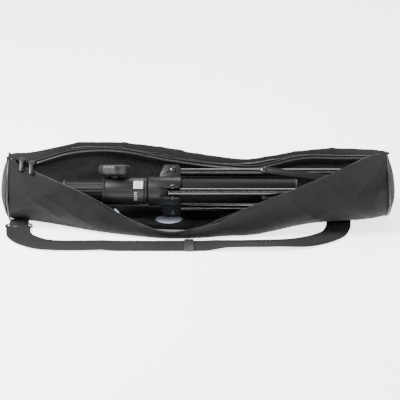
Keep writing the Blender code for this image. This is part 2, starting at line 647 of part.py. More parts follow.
def hub(slider):
    profile = [(HUB_X[0], OUTER_R + SLIDE), (HUB_X[0], HUB_R - 0.001), (HUB_X[0] + 0.001, HUB_R),
               (HUB_X[1] - 0.001, HUB_R), (HUB_X[1], HUB_R - 0.001), (HUB_X[1], OUTER_R + SLIDE)]
    piece = add("hub", on_mast(turned(profile, sides=TUBE_SIDES)), "powder", slider)
    inner = LEG_R + EAR_GAP
    front = PIVOT_X + EAR_FRONT
    for angle in LEG_ANGLES.values():
        for side in (-1, 1):
            outline = [Vector((x, side * inner, z)) for x, z in
                       [(PIVOT_X - EAR_BACK, HUB_R - 0.0020), (PIVOT_X - EAR_BACK * 0.62, EAR_TOP),
                        *arc((front - EAR_CORNER, EAR_TOP - EAR_CORNER), EAR_CORNER, pi / 2, 0, 5),
                        (front, HUB_R - 0.0020)]]
            shape(piece, turn_to(slab(outline, Vector((0, side * EAR_THICK, 0))), angle), "UNION", slider)
    for angle in LEG_ANGLES.values():
        hole = rod(-0.012, 0.012, PIN_R + GAP, (PIVOT_X, 0, PIVOT_R), (0, 1, 0), PIN_SIDES)
        shape(piece, turn_to(hole, angle), "DIFFERENCE", slider)
    screw_hole = rod(0, 0.03, SET_SCREW_R + GAP, (SET_SCREW_X, 0, 0), (0, 0, 1), PIN_SIDES)
    shape(piece, turn_to(screw_hole, SET_SCREW_ANGLE), "DIFFERENCE", slider)
    screw = rod(OUTER_R + GAP, HUB_R - 0.0004, SET_SCREW_R, (SET_SCREW_X, 0, 0), (0, 0, 1), PIN_SIDES)
    screw_piece = add("hub_set_screw", turn_to(screw, SET_SCREW_ANGLE), "rivet", slider)
    socket = rod(HUB_R - 0.0022, HUB_R + 0.002, 0.0014, (SET_SCREW_X, 0, 0), (0, 0, 1), 6)
    shape(screw_piece, turn_to(socket, SET_SCREW_ANGLE), "DIFFERENCE", slider)


def pin_profile(start, end, radius, head_start=True):
    """A headed pin along its axis: a head past each given end."""
    profile = [(end, radius), (end, PIN_HEAD_R), (end + PIN_HEAD * 0.6, PIN_HEAD_R),
               (end + PIN_HEAD, PIN_HEAD_R * 0.6), (end + PIN_HEAD, 0)]
    if head_start:
        return [(start - PIN_HEAD, 0), (start - PIN_HEAD, PIN_HEAD_R * 0.6),
                (start - PIN_HEAD * 0.6, PIN_HEAD_R), (start, PIN_HEAD_R), (start, radius)] + profile
    return [(start, 0), (start, radius)] + profile


def leg(key, angle, slider):
    pivot = Vector((PIVOT_X, 0, PIVOT_R))
    place = turn_to_point(pivot, angle)
    holder = carrier("leg_" + key + "_fold", place)
    piece = add("leg_tube_" + key, turn_to(leg_tube_mesh(), angle), "gloss", holder)
    hole = rod(-0.012, 0.012, PIN_R + GAP, pivot, (0, 1, 0), PIN_SIDES)
    shape(piece, turn_to(hole, angle), "DIFFERENCE", holder)
    grip = LEG_R + GAP
    start = LEG_END - FOOT_LENGTH + FOOT_TIP
    tip = LEG_END + FOOT_TIP
    cup = [(start, grip), (start, FOOT_R - 0.0012), (start + 0.0012, FOOT_R), (tip - 0.003, FOOT_R),
           (tip, FOOT_R - 0.003), (tip, 0), (LEG_END + GAP, 0), (LEG_END + GAP, grip)]
    bm = turned(cup, (0, 0, PIVOT_R), (1, 0, 0), LEG_SIDES)
    add("leg_foot_" + key, turn_to(bm, angle), "rubber", holder)
    ears = LEG_R + EAR_GAP + EAR_THICK + GAP
    pin = turned(pin_profile(-ears, ears, PIN_R), pivot, (0, 1, 0), PIN_SIDES)
    add("leg_pivot_" + key, turn_to(pin, angle), "rivet", slider)


def leg_tube_mesh():
    bore = LEG_R - LEG_WALL
    profile = [(LEG_START, bore), (LEG_START, LEG_R), (LEG_END, LEG_R), (LEG_END, bore)]
    return turned(profile, (0, 0, PIVOT_R), (1, 0, 0), LEG_SIDES)


def turn_to_point(point, angle):
    return Matrix.Translation((0, 0, MAST_Z)) @ Matrix.Rotation(angle - pi / 2, 4, "X") @ Vector(point)


def brace(key, angle, stand):
    """Flat bar from the spider to the leg's side; its leg rivet is the linkage's open pivot."""
    inner = Vector((SPIDER_X, 0, SPIDER_R))
    outer = Vector((BRACE_LEG_X, 0, PIVOT_R))
    holder = carrier("brace_" + key + "_fold", turn_to_point(inner, angle))
    side = -(LEG_R + BRACE_OUT)
    lean = (outer - inner).normalized()
    tilt = Vector((-lean.z, 0, lean.x))
    half = BRACE_WIDTH / 2
    outline = [end + sign * (lean * ahead + tilt * up) + Vector((0, side, 0))
               for end, sign in ((outer, 1), (inner, -1))
               for ahead, up in arc((0, 0), half, -pi / 2, pi / 2, 10)]
    bar = add("brace_" + key, turn_to(slab(outline, Vector((0, -BRACE_THICK, 0))), angle), "powder", holder)
    for end in (inner, outer):
        hole = rod(side - 0.006, side + 0.002, PIN_R, end, (0, 1, 0), PIN_SIDES)
        shape(bar, turn_to(hole, angle), "DIFFERENCE", holder)
    outside = -side + BRACE_THICK + GAP
    rivet = turned(pin_profile(LEG_R + GAP, outside, PIN_R - GAP, False), outer, (0, -1, 0), PIN_SIDES)
    add("brace_rivet_" + key, turn_to(rivet, angle), "rivet", holder)
    behind = LEG_R + LUG_OUT - SPIDER_LUG - GAP
    pin = turned(pin_profile(behind, outside, PIN_R - GAP), inner, (0, -1, 0), PIN_SIDES)
    add("brace_pin_" + key, turn_to(pin, angle), "rivet", stand)


def main():
    clear_scene()
    bag_base()
    bag_walls()
    bag_ends()
    liner_pad()
    zip_tapes()
    zip_sliders()
    shoulder_strap()
    strap_ring()
    strap_keeper()
    desk()
    stand = carrier("stand_out", (0.600, 0, -0.298))
    inner = carrier("column_slide", (INNER_X[0], 0, MAST_Z))
    slider = carrier("hub_slide", (PIVOT_X, 0, MAST_Z))
    columns(stand, inner)
    clamp(stand)
    knob()
    mast_foot(stand)
    hub(slider)
    for key, angle in LEG_ANGLES.items():
        leg(key, angle, slider)
        brace(key, angle, stand)


main()
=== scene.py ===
"""Looks for a folding music stand lying in its open carry bag.

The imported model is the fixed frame. Every class here dresses or finely rebuilds one
sub-assembly of it: the bag, its strap and zip, the desk, the mast and the tripod.
"""

from __future__ import annotations

import logging
from dataclasses import dataclass, field
from enum import Enum
from math import atan2, cos, pi, radians, sin
from typing import Callable, Iterable, Sequence

import bpy
from mathutils import Euler, Matrix, Vector, noise


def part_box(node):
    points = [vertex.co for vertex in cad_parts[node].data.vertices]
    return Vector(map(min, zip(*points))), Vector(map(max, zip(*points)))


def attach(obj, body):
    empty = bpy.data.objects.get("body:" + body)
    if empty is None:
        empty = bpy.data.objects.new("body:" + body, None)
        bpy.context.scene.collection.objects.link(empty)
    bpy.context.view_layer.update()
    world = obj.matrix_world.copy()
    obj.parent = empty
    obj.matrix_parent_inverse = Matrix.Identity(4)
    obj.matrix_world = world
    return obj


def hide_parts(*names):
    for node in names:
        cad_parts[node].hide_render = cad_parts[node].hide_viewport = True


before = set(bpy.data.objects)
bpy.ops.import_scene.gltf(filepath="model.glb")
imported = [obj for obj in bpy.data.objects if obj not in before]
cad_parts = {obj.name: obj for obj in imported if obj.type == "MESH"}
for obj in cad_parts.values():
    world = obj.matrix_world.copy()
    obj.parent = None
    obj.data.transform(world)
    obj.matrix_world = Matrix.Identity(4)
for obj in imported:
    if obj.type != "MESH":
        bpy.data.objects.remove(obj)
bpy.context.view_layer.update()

LOG = logging.getLogger("music_stand")
Point = Sequence[float]
Profile = Sequence[tuple[float, float]]
Piece = bpy.types.Object
Socket = bpy.types.NodeSocket


# ---------------------------------------------------------------- where things are

class Axis(Enum):
    """The frame's directions that pieces are turned about."""

    X = (1.0, 0.0, 0.0)
    Z = (0.0, 0.0, 1.0)


class Leg(Enum):
    """The three legs, by the letter that ends their nodes' names."""

    A = "a"
    B = "b"
    C = "c"


@dataclass(frozen=True)
class Span:
    """The box of one node of the frame, at rest."""

    low: Vector
    high: Vector

    @classmethod
    def of(cls, node: str) -> "Span":
        """Read the box of a node."""
        low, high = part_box(node)
        return cls(Vector(low), Vector(high))

    @property
    def middle(self) -> Vector:
        """The centre of the box."""
        return (self.low + self.high) / 2

    @property
    def size(self) -> Vector:
        """The three sides of the box."""
        return self.high - self.low


# ---------------------------------------------------------------- shader maths

class Value:
    """A number socket that can be written in Python expressions."""

    def __init__(self, tree: bpy.types.NodeTree, socket: Socket) -> None:
        """Wrap one output socket of a tree."""
        self.tree = tree
        self.socket = socket

    def _math(self, operation: str, *terms: "Value | float") -> "Value":
        """Add a Math node.

        Args:
            operation: the node's operation.
            terms: its inputs, as sockets or numbers.

        Returns:
            The node's result.
        """
        node = self.tree.nodes.new("ShaderNodeMath")
        node.operation = operation
        for slot, term in zip(node.inputs, terms):
            if isinstance(term, Value):
                self.tree.links.new(term.socket, slot)
            else:
                slot.default_value = term
        return Value(self.tree, node.outputs[0])

    def __add__(self, other: "Value | float") -> "Value":
        """Sum."""
        return self._math("ADD", self, other)

    def __sub__(self, other: "Value | float") -> "Value":
        """Difference."""
        return self._math("SUBTRACT", self, other)

    def __rsub__(self, other: float) -> "Value":
        """Difference, from the right."""
        return self._math("SUBTRACT", other, self)

    def __mul__(self, other: "Value | float") -> "Value":
        """Product."""
        return self._math("MULTIPLY", self, other)

    def sine(self) -> "Value":
        """Sine of the value."""
        return self._math("SINE", self)

    def turn_of(self, other: "Value") -> "Value":
        """The angle whose tangent is this value over another."""
        return self._math("ARCTAN2", self, other)

    def above(self, level: float) -> "Value":
        """One where the value passes a level, else zero."""
        return self._math("GREATER_THAN", self, level)

    def size(self) -> "Value":
        """The value without its sign."""
        return self._math("ABSOLUTE", self)

    def clamp(self) -> "Value":
        """The value held between zero and one."""
        return self._math("MINIMUM", self._math("MAXIMUM", self, 0.0), 1.0)


class Surface:
    """One material's node tree, with its Principled shader."""

    def __init__(self, name: str) -> None:
        """Start a material of the given name."""
        self.material = bpy.data.materials.new(name)
        self.material.use_nodes = True
        self.tree = self.material.node_tree
        self.shader = self.tree.nodes["Principled BSDF"]

    def node(self, kind: str, settings: dict | None = None,
             inputs: dict | None = None) -> bpy.types.Node:
        """Add a node of any type.

        Args:
            kind: the node's type.
            settings: properties that are set first.
            inputs: values, Values or sockets for its inputs, by name or index.

        Returns:
            The new node.
        """
        node = self.tree.nodes.new(kind)
        for key, value in (settings or {}).items():
            setattr(node, key, value)
        for key, value in (inputs or {}).items():
            self.feed(node.inputs[key], value)
        return node

    def feed(self, slot: Socket, value: object) -> None:
        """Give an input its link or its number."""
        if isinstance(value, Value):
            self.tree.links.new(value.socket, slot)
        elif isinstance(value, Socket):
            self.tree.links.new(value, slot)
        else:
            slot.default_value = value

    def value(self, socket: Socket) -> Value:
        """Wrap a socket for maths."""
        return Value(self.tree, socket)

    def place(self, uv: bool = False) -> Socket:
        """Where a point lies: on the object, or on its own map."""
        return self.node("ShaderNodeTexCoord").outputs["UV" if uv else "Object"]

    def axes(self, uv: bool = False) -> tuple[Value, Value, Value]:
        """The three coordinates of a point as numbers."""
        parts = self.node("ShaderNodeSeparateXYZ", inputs={0: self.place(uv)})
        return tuple(self.value(out) for out in parts.outputs)

    def grain(self, scale: float, detail: float = 3.0, stretch: Point = (1, 1, 1),
              uv: bool = False) -> Value:
        """Noise between zero and one.

        Args:
            scale: how fine it is.
            detail: its octaves.
            stretch: how much finer it is along each axis.
            uv: whether it follows the piece's own map.

        Returns:
            The noise.
        """
        mapping = self.node("ShaderNodeMapping", inputs={"Vector": self.place(uv),
                                                         "Scale": tuple(stretch)})
        cloud = self.node("ShaderNodeTexNoise", inputs={"Vector": mapping.outputs[0],
                                                        "Scale": scale, "Detail": detail})
        return self.value(cloud.outputs["Fac"])

    def blend(self, share: Value, first: Point, second: Point) -> Socket:
        """Mix two colours by a share."""
        node = self.node("ShaderNodeMix", {"data_type": "RGBA"}, {"Factor": share})
        node.inputs["A"].default_value = (*first, 1.0)
        node.inputs["B"].default_value = (*second, 1.0)
        return node.outputs["Result"]

    def relief(self, height: Value, depth: float, strength: float = 1.0) -> None:
        """Let a height raise the surface by a real depth in metres."""
        bump = self.node("ShaderNodeBump", inputs={"Height": height, "Distance": depth,
                                                   "Strength": strength})
        self.tree.links.new(bump.outputs[0], self.shader.inputs["Normal"])

    def dress(self, tone: Value, first: Point, second: Point, rough: Value) -> None:
        """Colour the surface between two colours, and set how rough it is.

        Args:
            tone: the share of the second colour.
            first: the colour where the tone is nought.
            second: the colour where it is one.
            rough: the roughness, which is held between nought and one.
        """
        self.feed(self.shader.inputs["Base Color"], self.blend(tone, first, second))
        self.feed(self.shader.inputs["Roughness"], rough.clamp())

    def constant(self, **settings: object) -> None:
        """Set sockets of the shader that are the same all over."""
        for key, value in settings.items():
            self.shader.inputs[key.replace("_", " ")].default_value = value


def scaled(colour: Point, factor: float) -> tuple[float, ...]:
    """A colour made lighter or darker."""
    return tuple(min(1.0, channel * factor) for channel in colour)


# ---------------------------------------------------------------- finishes

@dataclass(frozen=True)
class Woven:
    """Plain-woven cloth wrapped round the bag: warp along X, weft round the bag's axis."""

    name: str
    colour: Point
    thread: float = 0.00055
    sheen: float = 0.25
    rough: float = 0.78
    worn: float = 0.72
    specular: float = 0.16
    wrap: Point = (0.015, 0.050, 0.052)

    def make(self) -> bpy.types.Material:
        """Build the cloth's material."""
        s = Surface(self.name)
        x, y, z = s.axes()
        axis_y, axis_z, radius = self.wrap
        around = (z - axis_z).turn_of(y - axis_y) * radius
        warp = (x * (2 * pi / self.thread)).sine()
        weft = (around * (2 * pi / self.thread)).sine()
        weave = (warp * weft) * 0.5 + 0.5
        fade = s.grain(9.0, 5.0)
        dust = s.grain(160.0, 4.0)
        slub = s.grain(620.0, 2.0, (0.35, 1.0, 1.0))
        tone = (fade * 0.80 + dust * 0.40 + weave * 0.20 + slub * 0.40 - 0.40).clamp()
        rumple = s.grain(38.0, 4.0, (0.6, 1.4, 1.4))
        s.dress(tone, scaled(self.colour, 1 - self.worn), scaled(self.colour, 1 + 1.3 * self.worn),
                fade * 0.14 + (self.rough - 0.07))
        s.relief(weave * 0.45 + slub * 0.5 + rumple * 2.4, 0.0006, 0.7)
        s.constant(Sheen_Weight=self.sheen, Sheen_Roughness=0.45,
                   Specular_IOR_Level=self.specular)
        return s.material


@dataclass(frozen=True)
class Webbing:
    """Ribbed narrow fabric that follows the piece's own map: U across it, V along it, in metres."""

    name: str
    colour: Point
    rib: float = 0.0022
    rough: float = 0.74

    def make(self) -> bpy.types.Material:
        """Build the webbing's material."""
        s = Surface(self.name)
        across, along, _ = s.axes(uv=True)
        pick = 2 * pi / self.rib
        twill = ((across * pick) + (along * pick * 1.4)).sine() * 0.5 + 0.5
        chevron = ((across.size() * pick) - (along * pick * 1.4)).sine() * 0.5 + 0.5
        thread = (along * (2 * pi / 0.0007)).sine() * 0.5 + 0.5
        fade = s.grain(14.0, 4.0)
        tone = (twill * 0.40 + chevron * 0.25 + thread * 0.2 + fade * 0.3 - 0.08).clamp()
        s.dress(tone, scaled(self.colour, 0.35), scaled(self.colour, 2.0),
                twill * 0.1 + (self.rough - 0.05))
        s.relief(twill * 0.6 + thread * 0.3 + chevron * 0.2, 0.0004, 0.7)
        s.constant(Sheen_Weight=0.05, Sheen_Roughness=0.4, Specular_IOR_Level=0.2)
        return s.material


@dataclass(frozen=True)
class Enamel:
    """Painted or plated metal: a gloss level, fine orange peel and rubbed patches."""

    name: str
    colour: Point
    rough: float
    metallic: float = 0.0
    coat: float = 0.0
    peel: float = 900.0
    depth: float = 0.00006
    wear: float = 0.12
    specular: float = 0.5
    coat_rough: float = 0.06

    def make(self) -> bpy.types.Material:
        """Build the metal's material."""
        s = Surface(self.name)
        rubbed = s.grain(30.0, 6.0, (0.35, 1, 1))
        fine = s.grain(self.peel, 2.0)
        tone = (rubbed * 0.7 + fine * 0.3).clamp()
        s.dress(tone, scaled(self.colour, 1 - self.wear), scaled(self.colour, 1 + 2 * self.wear),
                rubbed * self.wear + (self.rough - self.wear / 2))
        s.relief(fine, self.depth, 0.5)
        s.constant(Metallic=self.metallic, Coat_Weight=self.coat, Coat_Roughness=self.coat_rough,
                   Specular_IOR_Level=self.specular)
        return s.material


@dataclass(frozen=True)
class Moulded:
    """Moulded plastic or rubber with a spark-eroded grain."""

    name: str
    colour: Point
    rough: float = 0.55
    grain: float = 1400.0
    depth: float = 0.00010

    def make(self) -> bpy.types.Material:
        """Build the plastic's material."""
        s = Surface(self.name)
        spark = s.grain(self.grain, 3.0)
        bloom = s.grain(45.0, 5.0)
        tone = (spark * 0.35 + bloom * 0.6).clamp()
        s.dress(tone, scaled(self.colour, 0.75), scaled(self.colour, 1.45),
                bloom * 0.16 + (self.rough - 0.08))
        s.relief(spark + bloom * 0.4, self.depth, 0.6)
        return s.material


@dataclass(frozen=True)
class Felt:
    """Short-haired felt or foam board."""

    name: str
    colour: Point

    def make(self) -> bpy.types.Material:
        """Build the felt's material."""
        s = Surface(self.name)
        hair = s.grain(700.0, 6.0)
        patch = s.grain(25.0, 4.0)
        tone = (hair * 0.6 + patch * 0.4).clamp()
        s.dress(tone, scaled(self.colour, 0.8), scaled(self.colour, 1.15), hair * 0.1 + 0.86)
        s.relief(hair, 0.0004, 0.7)
        s.constant(Sheen_Weight=0.4)
        return s.material


@dataclass(frozen=True)
class Label:
    """A stick-on label with no words: paper with rows of plain marks that mean nothing."""

    name: str
    paper: Point
    ink: Point
    bars: float
    rows: float

    def make(self) -> bpy.types.Material:
        """Build the label's material from its own map."""
        s = Surface(self.name)
        across, along, _ = s.axes(uv=True)
        row = (along * self.rows).sine().above(0.25)
        stripe = (across * self.bars + s.grain(7.0, 1.0, uv=True) * 2.0).sine().above(0.15)
        edge = (along - 0.5).size().above(0.42) + (across - 0.5).size().above(0.42)
        mark = (stripe * row * (1 - edge.clamp())).clamp()
        dirt = s.grain(300.0, 3.0)
        s.dress(mark, self.paper, self.ink, dirt * 0.2 + 0.42)
        s.relief(dirt, 0.00005, 0.4)
        return s.material


FINISHES: dict[str, bpy.types.Material] = {
    finish.name: finish.make() for finish in (
        Woven("bag_nylon", (0.0080, 0.0082, 0.0090), sheen=0.03),
        Woven("bag_lining", (0.0950, 0.0960, 0.1010), thread=0.0008, sheen=0.05, rough=0.84,
              specular=0.2),
        Woven("bag_lining_dark", (0.0050, 0.0050, 0.0056), sheen=0.0),
        Webbing("strap_twill", (0.0100, 0.0100, 0.0110), rib=0.0040),
        Webbing("binding_tape", (0.0040, 0.0040, 0.0046), rib=0.0012),
        Moulded("piping_vinyl", (0.0150, 0.0150, 0.0162), rough=0.45, grain=900.0),
        Moulded("zip_coil", (0.060, 0.060, 0.066), rough=0.40),
        Enamel("zip_nickel", (0.022, 0.022, 0.025), 0.36, metallic=0.35, specular=0.4),
        Enamel("ring_black", (0.012, 0.012, 0.014), 0.38, metallic=0.5),
        Enamel("powder_coat", (0.0080, 0.0084, 0.0095), 0.38, peel=1500.0, depth=0.00012,
               specular=0.26),
        Enamel("fluted_anodised", (0.0060, 0.0062, 0.0070), 0.50, peel=700.0, specular=0.11),
        Enamel("desk_sheet", (0.0060, 0.0062, 0.0070), 0.26, metallic=0.1, peel=1200.0),
        Enamel("gloss_black", (0.003, 0.003, 0.0035), 0.20, coat=0.7, wear=0.03, peel=260.0,
               depth=0.000002, coat_rough=0.17),
        Enamel("rivet_steel", (0.085, 0.085, 0.090), 0.24, metallic=0.9, wear=0.18),
        Moulded("knob_plastic", (0.014, 0.014, 0.015), rough=0.55, depth=0.00006),
        Moulded("foot_rubber", (0.011, 0.011, 0.011), rough=0.72, grain=500.0),
        Felt("pad_felt", (0.40, 0.46, 0.56)),
        Label("label_plain", (0.50, 0.51, 0.52), (0.05, 0.05, 0.05), 20.0, 30.0),
        Label("label_barred", (0.008, 0.008, 0.009), (0.36, 0.37, 0.39), 5.2, 38.0),
    )
}


# ---------------------------------------------------------------- bench tools

def put_down() -> None:
    """Leave object mode clean, with nothing selected."""
    if bpy.context.object and bpy.context.object.mode != "OBJECT":
        bpy.ops.object.mode_set(mode="OBJECT")
    bpy.ops.object.select_all(action="DESELECT")


def take(piece: Piece) -> None:
    """Select one piece alone and make it active."""
    put_down()
    piece.select_set(True)
    bpy.context.view_layer.objects.active = piece


def edit(piece: Piece) -> None:
    """Open a piece in edit mode with all of it selected."""
    take(piece)
    bpy.ops.object.mode_set(mode="EDIT")
    bpy.ops.mesh.select_all(action="SELECT")


def modify(piece: Piece, kind: str, **settings: object) -> None:
    """Add a modifier, set it and apply it."""
    take(piece)
    tool = piece.modifiers.new(kind.lower(), kind)
    for key, value in settings.items():
        setattr(tool, key, value)
    bpy.ops.object.modifier_apply(modifier=tool.name)


def round_off(piece: Piece, width: float, steps: int = 2, angle: float = 35) -> None:
    """Break a piece's sharp edges by a small radius."""
    modify(piece, "BEVEL", width=width, segments=steps, limit_method="ANGLE",
           angle_limit=radians(angle), harden_normals=False)


def thicken(piece: Piece, thick: float, edge: float) -> None:
    """Give a sheet its thickness about its middle, with softly broken edges."""
    modify(piece, "SOLIDIFY", thickness=thick, offset=0.0)
    round_off(piece, edge, 2, 50)


def settle(piece: Piece, angle: float = 40) -> None:
    """Apply a piece's place, and shade it smooth where it isn't creased."""
    take(piece)
    bpy.ops.object.transform_apply(location=True, rotation=True, scale=True)
    bpy.ops.object.shade_smooth_by_angle(angle=radians(angle))


def hand_over(piece: Piece, finish: str, body: str, slot: str, *nodes: str,
              angle: float = 40) -> Piece:
    """Finish a piece and give it to the frame.

    Args:
        piece: the modelled object.
        finish: the name of its finish.
        body: the body that carries it.
        slot: not used.
        nodes: the nodes that it stands for.
        angle: the crease angle of its shading.

    Returns:
        The piece.
    """
    settle(piece, angle)
    if not piece.data.materials:
        piece.data.materials.append(FINISHES[finish])
    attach(piece, body)
    if nodes:
        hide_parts(*nodes)
    LOG.info("%s: %d faces on %s", piece.name, len(piece.data.polygons), body)
    return piece


def copy_of(node: str, name: str) -> Piece:
    """A merged copy of a node's mesh, with its flat faces whole again."""
    piece = bpy.data.objects.new(name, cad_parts[node].data.copy())
    piece.data.materials.clear()
    bpy.context.scene.collection.objects.link(piece)
    take(piece)
    bpy.ops.mesh.customdata_custom_splitnormals_clear()
    edit(piece)
    bpy.ops.mesh.remove_doubles(threshold=1e-6)
    bpy.ops.mesh.tris_convert_to_quads()
    put_down()
    return piece


def refined(node: str, finish: str, body: str, slot: str, edge: float = 0.0004) -> Piece:
    """A node's own shape with its flat faces joined and its edges broken."""
    piece = copy_of(node, node + "_fine")
    edit(piece)
    bpy.ops.mesh.dissolve_limited(angle_limit=radians(1.0))
    put_down()
    round_off(piece, edge)
    return hand_over(piece, finish, body, slot, node)


def cap(piece: Piece) -> None:
    """Close the open rims of a tube."""
    edit(piece)
    bpy.ops.mesh.select_all(action="DESELECT")
    bpy.ops.mesh.select_mode(type="VERT")
    bpy.ops.mesh.select_non_manifold()
    bpy.ops.mesh.fill_holes(sides=0)
    bpy.ops.mesh.select_all(action="SELECT")
    bpy.ops.mesh.normals_make_consistent(inside=False)
    put_down()


def skin(name: str, across: int, along: int, place: Callable[[float, float], Vector],
         size: Point = (1.0, 1.0), seamless: bool = False) -> Piece:
    """A grid laid over a surface.

    Args:
        name: the piece's name.
        across: its spans in the first direction.
        along: its spans in the second.
        place: where the point at two shares lies.
        size: what one whole share measures on the piece's map.
        seamless: whether the first direction closes on itself.

    Returns:
        The grid, with its map in metres.
    """
    put_down()
    bpy.ops.mesh.primitive_grid_add(x_subdivisions=across, y_subdivisions=along, size=2.0)
    piece = bpy.context.object
    piece.name = name
    mesh = piece.data
    shares = [((v.co.x + 1) / 2, (v.co.y + 1) / 2) for v in mesh.vertices]
    chart = mesh.uv_layers.active.data
    for loop in mesh.loops:
        u, v = shares[loop.vertex_index]
        chart[loop.index].uv = (u * size[0], v * size[1])
    for vertex, (u, v) in zip(mesh.vertices, shares):
        vertex.co = place(u, v)
    edit(piece)
    if seamless:
        bpy.ops.mesh.remove_doubles(threshold=1e-5)
    bpy.ops.mesh.normals_make_consistent(inside=False)
    put_down()
    return piece


def turned(name: str, profile: Profile, origin: Point, axis: Point, sides: int) -> Piece:
    """Turn a solid ring by ring, each ring extruded from the last and resized.

    Args:
        name: the piece's name.
        profile: (distance along the axis, radius) of each ring, from cap to cap.
        origin: where the axis starts.
        axis: its direction.
        sides: the facets round it.

    Returns:
        The closed solid.
    """
    put_down()
    (start, radius), *rest = profile
    bpy.ops.mesh.primitive_circle_add(vertices=sides, radius=radius, fill_type="NGON")
    piece = bpy.context.object
    piece.name = name
    edit(piece)
    bpy.ops.transform.translate(value=(0, 0, start))
    height = start
    for level, size in rest:
        bpy.ops.mesh.extrude_region_move(TRANSFORM_OT_translate={"value": (0, 0, level - height)})
        share = size / radius
        bpy.ops.transform.resize(value=(share, share, 1.0), center_override=(0, 0, level))
        height, radius = level, size
    bpy.ops.mesh.select_all(action="SELECT")
    bpy.ops.mesh.normals_make_consistent(inside=False)
    put_down()
    turn = Vector(Axis.Z.value).rotation_difference(Vector(axis).normalized())
    piece.matrix_world = Matrix.Translation(Vector(origin)) @ turn.to_matrix().to_4x4()
    return piece


def through(points: Sequence[Vector], share: float) -> Vector:
    """A point on the smooth curve through a list of points."""
    last = len(points) - 1
    place = min(max(share, 0.0), 1.0) * last
    k = min(int(place), last - 1)
    t = place - k
    a, b, c, d = (points[min(max(k + step, 0), last)] for step in (-1, 0, 1, 2))
    return 0.5 * (2 * b + (c - a) * t + (2 * a - 5 * b + 4 * c - d) * t * t
                  + (3 * b - a - 3 * c + d) * t ** 3)


def heading(points: Sequence[Vector], share: float, reach: float) -> Vector:
    """The step between the points just behind and just ahead of a share of a curve."""
    return through(points, min(share + reach, 1.0)) - through(points, max(share - reach, 0.0))


def measured(points: Sequence[Vector]) -> float:
    """The length of a line through points."""
    return sum((b - a).length for a, b in zip(points, points[1:]))


def cord_skin(name: str, path: Sequence[Vector], radius: float, spans: int, closed: bool = False,
              sides: int = 8) -> Piece:
    """A round cord along a path, as piping or wire.

    Args:
        name: the piece's name.
        path: the points it runs through.
        radius: its radius.
        spans: how many lengths it is cut into.
        closed: whether it is a ring.
        sides: the facets round it.

    Returns:
        The cord, with rounded ends unless it is a ring.
    """
    def place(u: float, v: float) -> Vector:
        """A point of the cord's surface."""
        here = through(path, v)
        ahead = heading(path, v, 0.002)
        side = ahead.cross(Vector((0.13, 0.21, 0.97))).normalized()
        lift = side.cross(ahead).normalized()
        end = 1.0 if closed else min(1.0, (min(v, 1 - v) * spans) ** 0.5)
        return here + (side * cos(2 * pi * u) + lift * sin(2 * pi * u)) * radius * max(end, 0.02)

    cord = skin(name, sides, spans, place, seamless=True)
    if not closed:
        cap(cord)
    return cord


def stations(node: str) -> list[list[Vector]]:
    """The points of a lofted node, gathered into its cross-sections from left to right."""
    points = sorted({tuple(v.co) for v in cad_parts[node].data.vertices})
    groups: list[list[Vector]] = [[Vector(points[0])]]
    for point in points[1:]:
        if point[0] - groups[-1][-1].x > 0.003:
            groups.append([])
        groups[-1].append(Vector(point))
    return groups


def mean(points: Iterable[Vector]) -> Vector:
    """The middle of some points."""
    found = list(points)
    return sum(found, Vector()) / len(found)


def ease(value: float, low: float, high: float) -> float:
    """Rise smoothly from nought at low to one at high."""
    share = min(max((value - low) / (high - low), 0.0), 1.0)
    return share * share * (3 - 2 * share)


# ---------------------------------------------------------------- carry bag

